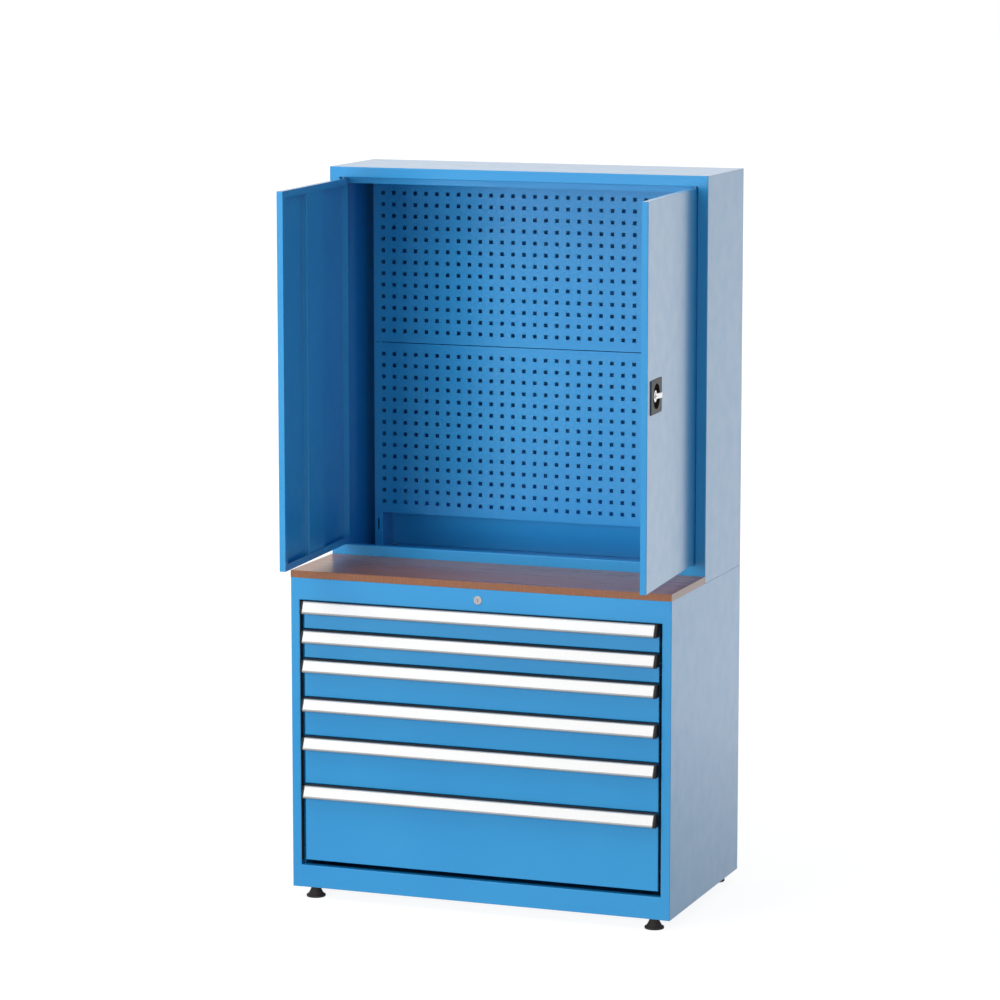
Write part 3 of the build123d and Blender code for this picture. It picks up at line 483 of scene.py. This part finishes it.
# ---------------------------------------------------------------- front frame
# half the opening's width, the frame's front, and the weld's lower and upper end
WELDS = [
    (OPENING, BASE_FRONT, 32, 85.5), (OPENING, BASE_FRONT, 775.5, 828),
    (HUTCH_OPENING, HUTCH_FRONT, 849, 873), (HUTCH_OPENING, HUTCH_FRONT, 1823, 1846),
]


def ground_welds():
    """Weld, ground flush, where the cross members of the front frames meet the stiles' folds."""
    overlap, fold, proud = 0.4, 2.0, 0.03
    form = bmesh.new()
    for opening, face_y, low, high in WELDS:
        size = Vector((fold + 2 * overlap, fold, high - low)) * MM
        for side in (-1, 1):
            middle = Vector((side * (opening + fold / 2), face_y + fold / 2 - proud, (low + high) / 2)) * MM
            bmesh.ops.create_cube(form, matrix=Matrix.Translation(middle) @ Matrix.Diagonal((*size, 1)))
    mesh = bpy.data.meshes.new("frame_welds")
    form.to_mesh(mesh)
    form.free()
    return piece("frame_welds", mesh, "cabinet", "blue_paint", BLUE)


ground_welds()


# ---------------------------------------------------------------- strips on the handles
def strip_mesh(name, outline, x0, x1):
    """Solid strip along X whose (Y, Z) outline is in millimetres."""
    form = bmesh.new()
    rings = [[form.verts.new((x * MM, y * MM, z * MM)) for y, z in outline] for x in (x0, x1)]
    count = len(outline)
    for i in range(count):
        j = (i + 1) % count
        form.faces.new((rings[0][i], rings[1][i], rings[1][j], rings[0][j]))
    form.faces.new(rings[0])
    form.faces.new(rings[1][::-1])
    bmesh.ops.recalc_face_normals(form, faces=form.faces)
    mesh = bpy.data.meshes.new(name)
    form.to_mesh(mesh)
    form.free()
    return mesh


# the handle's sloping face, as (Y, Z) from the top of its drawer's front
SHOULDER, NOSE = Vector((-296.0, 0.0)), Vector((-309.0, -29.2404))


def label_strip(number, top):
    """Card under its clear strip, slightly crowned, between the handle's two ribs."""
    down = (NOSE - SHOULDER).normalized()
    out = Vector((down.y, -down.x))
    start, end, crown, sink = 2.6, 27.4, 0.55, 0.2
    across = 10
    profile = []
    for i in range(across + 1):
        share = i / across
        along = start + (end - start) * share
        rise = crown * (1 - (2 * share - 1) ** 4)
        profile.append(SHOULDER + down * along + out * rise)
    profile += [SHOULDER + down * end - out * sink, SHOULDER + down * start - out * sink]
    name = f"drawer_{number}_label"
    mesh = strip_mesh(name, [(p.x, top + p.y) for p in profile], -HANDLE_HALF, HANDLE_HALF)
    return piece(name, mesh, f"drawer_{number}", "handle_aluminium", CARD)


def handle_shade_strip(number, top, lip):
    """Black strip on top of a handle, with a lip over the gap above the drawer: painted shade, a dark sheet
    standing in for the shadow in the gap between the drawers.
    """
    front, lip_foot, lip_front, back = -293.0, -281.6, -281.0, -279.4
    sole, skin = top - 0.1, top + 0.5
    outline = [
        (front, sole), (front, skin), (lip_foot, skin),
        (lip_front, top + lip), (back, top + lip), (back, sole),
    ]
    name = f"drawer_{number}_shade_strip"
    mesh = strip_mesh(name, outline, -HANDLE_HALF, HANDLE_HALF)
    return piece(name, mesh, f"drawer_{number}", "black_plastic", RUBBER)


for number, top in zip(DRAWERS, FRONT_TOPS):
    label_strip(number, top)
    # the gap above the first drawer is narrower
    handle_shade_strip(number, top, 0.9 if number == 1 else 1.6)


# ---------------------------------------------------------------- painted shade beside the drawers
def opening_shade_strip(name, side):
    """Black strip on the inner face of a front stile, beside the drawers' ends: painted shade, a dark sheet
    standing in for the shadow in the gap at the drawers' ends.
    """
    front, back, low, high = -284.0, -271.0, 98.0, 773.0
    thickness, sink = 0.8, 0.1
    outline = [(front, low), (back, low), (back, high), (front, high)]
    mesh = strip_mesh(name, outline, side * (OPENING - thickness), side * (OPENING + sink))
    return piece(name, mesh, "cabinet", "black_plastic", RUBBER)


opening_shade_strip("left_opening_seal", -1)
opening_shade_strip("right_opening_seal", 1)


# ---------------------------------------------------------------- rivets and screws
# lowest and highest rivet of the upright rows on each back sheet; the level rows lie past them
BACK_ROWS = [(50, 812), (846, 1830)]
ROW_X, ROW_BELOW, ROW_ABOVE, LEVEL_ROW_HALF = 495, 8, 7, 400
UPRIGHT_PITCH, LEVEL_PITCH = 150, 160
RAIL_X, RAIL_RISE = 467.2, 32
RAIL_SCREWS = [-225, -95, 65, 205]


def run(start, end, pitch):
    """Evenly spaced places from start to end, about pitch apart."""
    steps = max(round((end - start) / pitch), 1)
    return [start + (end - start) * i / steps for i in range(steps + 1)]


def back_rivets():
    """Rivets that hold the two back sheets to the rear flanges."""
    places = []
    for low, high in BACK_ROWS:
        for x in (-ROW_X, ROW_X):
            places += [(x, z) for z in run(low, high, UPRIGHT_PITCH)]
        for z in (low - ROW_BELOW, high + ROW_ABOVE):
            places += [(x, z) for x in run(-LEVEL_ROW_HALF, LEVEL_ROW_HALF, LEVEL_PITCH)]
    points = [(x * MM, BACK * MM, z * MM) for x, z in places]
    return zinc_fittings("back_rivets", RIVETS, points, (0, 1, 0), "cabinet")


def rail_screws(number, bottom, side, label):
    """Screws that hold one slide's inner member to its tray."""
    spots = [(side * RAIL_X * MM, y * MM, (bottom + RAIL_RISE) * MM) for y in RAIL_SCREWS]
    name = f"drawer_{number}_{label}_rail_screws"
    return zinc_fittings(name, SCREWS, spots, (side, 0, 0), f"drawer_{number}")


back_rivets()
for number, bottom in zip(DRAWERS, FRONT_BOTTOMS):
    rail_screws(number, bottom, -1, "left")
    rail_screws(number, bottom, 1, "right")


# ---------------------------------------------------------------- stage, light and camera
WHITE = (1, 1, 1, 1)


def lamp(name, place, target, size, power):
    """Round soft light that the paint doesn't mirror: size in metres across, power in watts."""
    light = bpy.data.lights.new(name, "AREA")
    light.shape = "DISK"
    light.size = size
    light.energy = power
    made = bpy.data.objects.new(name, light)
    made.location = place
    made.rotation_euler = (Vector(target) - Vector(place)).to_track_quat("-Z", "Y").to_euler()
    made.visible_glossy = False
    bpy.context.scene.collection.objects.link(made)


def white_world(diffuse_level, mirrored_level):
    """White to the eye, near white in reflections, and a plain pale sky for everything else."""
    world = bpy.data.worlds.new("studio")
    bpy.context.scene.world = world
    world.use_nodes = True
    tree = world.node_tree
    rays = add(tree, "ShaderNodeLightPath").outputs
    level = add(tree, "ShaderNodeMapRange", {
        "Value": rays["Is Glossy Ray"], "To Min": diffuse_level, "To Max": mirrored_level,
    })
    seen = add(tree, "ShaderNodeMath", {
        0: rays["Is Camera Ray"], 1: rays["Is Transmission Ray"],
    }, operation="MAXIMUM")
    shown = add(tree, "ShaderNodeMapRange", {
        "Value": seen.outputs[0], "To Min": level.outputs["Result"], "To Max": 1.0,
    })
    tree.links.new(shown.outputs["Result"], tree.nodes["Background"].inputs["Strength"])
    tree.nodes["Background"].inputs["Color"].default_value = WHITE


def white_floor():
    """Large pale floor that keeps the shadow and otherwise meets the white behind it."""
    material = bpy.data.materials.new("stage_white")
    material.use_nodes = True
    tree = material.node_tree
    tree.nodes.clear()
    rays = add(tree, "ShaderNodeLightPath").outputs
    place = add(tree, "ShaderNodeTexCoord").outputs["Object"]
    along = add(tree, "ShaderNodeSeparateXYZ", {0: place}).outputs["Y"]
    matt = add(tree, "ShaderNodeBsdfDiffuse", {"Color": (0.55, 0.55, 0.55, 1)})
    # to the eye: white, with a share of the lit floor in it, which carries the shadow
    far = add(tree, "ShaderNodeMapRange", {
        "Value": along, "From Min": 0.0, "From Max": 4.0, "To Min": 1.5, "To Max": 1.7,
    })
    glow = add(tree, "ShaderNodeEmission", {"Color": WHITE, "Strength": far.outputs["Result"]})
    to_eye = add(tree, "ShaderNodeMixShader", {0: 0.6, 1: matt.outputs[0], 2: glow.outputs[0]})
    # in reflections: dim in front of the cabinet and bright behind it, as under a lit backdrop
    dim = 0.35
    backdrop = add(tree, "ShaderNodeMapRange", {
        "Value": along, "From Min": -2.0, "From Max": 2.5, "To Min": dim, "To Max": 1.3,
    })
    # a white card lies about 4.5 m in front and shows in the base's header and lock
    from_card = add(tree, "ShaderNodeMath", {0: along, 1: 4.5}, operation="ADD")
    off_card = add(tree, "ShaderNodeMath", {0: from_card.outputs[0]}, operation="ABSOLUTE")
    card = add(tree, "ShaderNodeMapRange", {
        "Value": off_card.outputs[0], "From Min": 0.8, "From Max": 2.2, "To Min": 0.95, "To Max": dim,
    })
    level = add(tree, "ShaderNodeMath", {
        0: backdrop.outputs["Result"], 1: card.outputs["Result"],
    }, operation="MAXIMUM")
    mirrored = add(tree, "ShaderNodeEmission", {
        "Color": paint("#F6FAFF"), "Strength": level.outputs[0],
    })
    matt_or_mirrored = add(tree, "ShaderNodeMixShader", {
        0: rays["Is Glossy Ray"], 1: matt.outputs[0], 2: mirrored.outputs[0],
    })
    mixed = add(tree, "ShaderNodeMixShader", {
        0: rays["Is Camera Ray"], 1: matt_or_mirrored.outputs[0], 2: to_eye.outputs[0],
    })
    add(tree, "ShaderNodeOutputMaterial", {"Surface": mixed.outputs[0]})
    mesh = bpy.data.meshes.new("floor")
    reach = 40.0
    outline = [(-reach, -reach, 0), (reach, -reach, 0), (reach, reach, 0), (-reach, reach, 0)]
    mesh.from_pydata(outline, [], [(0, 1, 2, 3)])
    mesh.materials.append(material)
    floor = bpy.data.objects.new("floor", mesh)
    # a hair below the feet, which stand at zero
    floor.location.z = -0.2 * MM
    bpy.context.scene.collection.objects.link(floor)


white_world(0.38, 0.97)
white_floor()
lamp("key", (-2.1, -6.6, 1.6), (0, 0, 1.0), 3.0, 240)
lamp("fill", (1.4, -7.2, 1.7), (0, 0, 1.0), 3.0, 45)
lamp("top", (-1.5, -2.4, 4.6), (0, 0, 0.9), 3.0, 55)

VIEW_POINT = (3.4112, -9.2802, 2.5380)
YAW, PITCH = math.radians(20.44), math.radians(8.77)
FOCAL_PIXELS, FRAME_PIXELS, SENSOR = 3939.6, 1000, 36.0


def aim_camera():
    """Long lens from the right and a little above, looking down at the cabinet."""
    lens = bpy.data.cameras.new("camera")
    lens.sensor_fit = "HORIZONTAL"
    lens.sensor_width = SENSOR
    lens.lens = FOCAL_PIXELS / FRAME_PIXELS * SENSOR
    lens.clip_end = 100
    viewer = bpy.data.objects.new("camera", lens)
    viewer.location = VIEW_POINT
    viewer.rotation_euler = (math.radians(90) - PITCH, 0, YAW)
    bpy.context.scene.collection.objects.link(viewer)
    bpy.context.scene.camera = viewer


aim_camera()
bpy.context.scene.view_settings.view_transform = "Standard"
